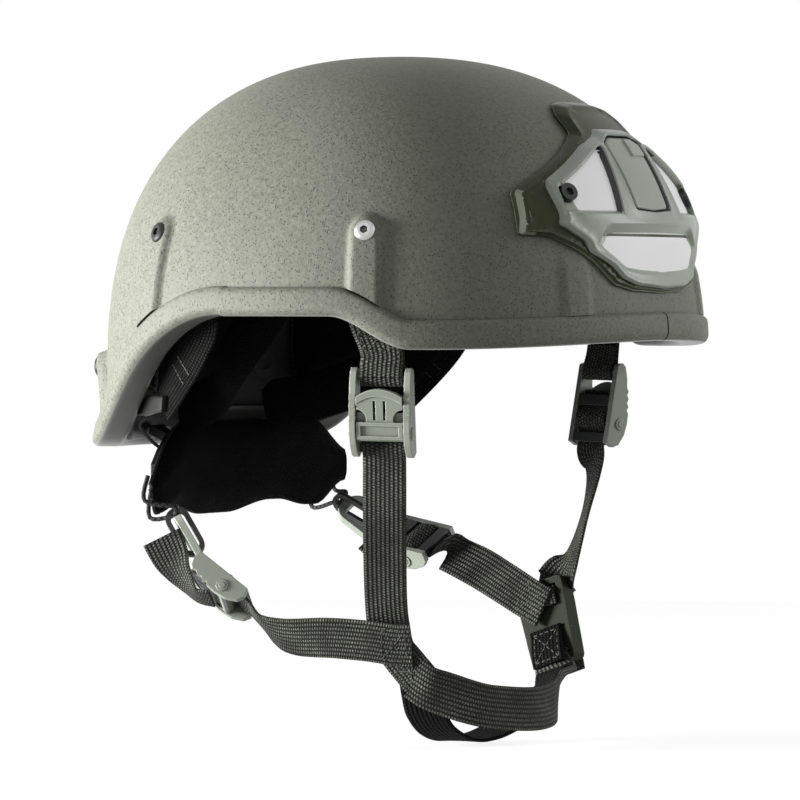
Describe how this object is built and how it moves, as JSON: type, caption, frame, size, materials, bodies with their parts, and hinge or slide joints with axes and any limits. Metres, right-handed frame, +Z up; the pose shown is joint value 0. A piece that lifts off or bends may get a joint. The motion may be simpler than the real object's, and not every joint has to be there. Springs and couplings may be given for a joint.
{
  "type": "rescue helmet",
  "caption": "Open-face rescue helmet with a hard shell, edge trim, ribs, front accessory shroud, padded liner and a four-point cam-buckle chin harness with a nape pad and fit dial",
  "frame": {"origin": "on the mid plane at the height of the brow edge, on the upright axis through the head", "axes": "+X to the front of the helmet, +Y to the wearer's left, +Z up to the crown"},
  "size_m": [0.2729, 0.246, 0.2989],
  "materials": {
    "shell_paint": "matte speckled paint",
    "bolt_steel": "satin",
    "bolt_black": "satin black",
    "gasket": "matte",
    "shroud_olive": "satin",
    "pale_green": "satin",
    "buckle_green": "satin",
    "dark_plastic": "satin",
    "cord": "braided",
    "olive_plastic": "satin",
    "knit": "knit mesh",
    "webbing": "woven webbing",
    "black_webbing": "woven webbing"
  },
  "bodies": {
    "helmet": {"shell": "shell_paint", "edge_trim": "shell_paint", "front_side_bolts": "bolt_steel", "rear_side_bolts": "bolt_black", "rear_bolts": "bolt_black", "bolt_nuts": "bolt_steel", "shroud_gasket": "gasket", "shroud_base": "shroud_olive", "shroud_insert": "pale_green", "shroud_plate": "pale_green", "shroud_screws": "bolt_black", "front_pad": "knit", "crown_pad": "knit", "rear_pad": "knit", "temple_pad_right": "knit", "temple_pad_left": "knit", "side_pad_right": "knit", "side_pad_left": "knit", "occipital_pad_right": "knit", "occipital_pad_left": "knit", "front_anchor_right": "webbing", "front_anchor_left": "webbing", "rear_hanger_right": "webbing", "rear_hanger_left": "webbing", "nape_band_right": "knit", "nape_band_left": "knit", "nape_yoke": "dark_plastic", "yoke_rivets": "bolt_steel", "nape_plate": "dark_plastic", "nape_pad": "knit", "dial_housing": "dark_plastic", "lace_right": "cord", "lace_left": "cord", "nape_link_right": "dark_plastic", "nape_link_left": "dark_plastic", "link_cord_right": "cord", "link_cord_left": "cord", "front_buckle_right": "buckle_green", "front_buckle_left": "buckle_green", "rear_buckle_right": "buckle_green", "rear_buckle_left": "buckle_green", "front_strap_right": "webbing", "front_strap_left": "webbing", "rear_strap_right": "webbing", "rear_strap_left": "webbing", "chin_socket": "olive_plastic"},
    "front_lever_right": {"front_lever_right": "buckle_green"},
    "front_lever_left": {"front_lever_left": "buckle_green"},
    "rear_lever_right": {"rear_lever_right": "buckle_green", "strap_tail_right": "webbing"},
    "rear_lever_left": {"rear_lever_left": "buckle_green", "strap_tail_left": "webbing"},
    "dial": {"fit_dial": "dark_plastic"},
    "button": {"chin_button": "buckle_green"},
    "plug": {"chin_plug": "olive_plastic", "chin_strap": "webbing", "under_chin_strap": "webbing", "chin_lap": "black_webbing"}
  },
  "joints": [
    {"name": "front_lever_right_hinge", "type": "hinge", "parent": "helmet", "child": "front_lever_right", "pos_m": [0.05055, -0.0911, -0.03854], "axis": [0.951, 0.309, -0.0143], "range_deg": [0, 75]},
    {"name": "front_lever_left_hinge", "type": "hinge", "parent": "helmet", "child": "front_lever_left", "pos_m": [0.05055, 0.0911, -0.03854], "axis": [-0.951, 0.309, 0.0143], "range_deg": [0, 75]},
    {"name": "rear_lever_right_hinge", "type": "hinge", "parent": "helmet", "child": "rear_lever_right", "pos_m": [-0.04566, -0.06841, -0.1121], "axis": [0.4132, -0.8086, 0.4189], "range_deg": [0, 75]},
    {"name": "rear_lever_left_hinge", "type": "hinge", "parent": "helmet", "child": "rear_lever_left", "pos_m": [-0.03315, 0.07028, -0.09635], "axis": [-0.0504, -0.8927, -0.4479], "range_deg": [0, 75]},
    {"name": "fit_dial_turn", "type": "hinge", "parent": "helmet", "child": "dial", "pos_m": [-0.1087, 0, -0.057], "axis": [-1, 0, 0], "continuous": true},
    {"name": "chin_button_press", "type": "slide", "parent": "helmet", "child": "button", "axis": [-0.1003, -0.9896, 0.1027], "range_m": [0, 0.0011], "stiffness_N_per_m": 900},
    {"name": "chin_plug_slide", "type": "slide", "parent": "helmet", "child": "plug", "axis": [0.3195, -0.1298, -0.9386], "range_m": [0, 0.018], "deforming": ["chin_strap", "under_chin_strap", "chin_lap"]}
  ]
}
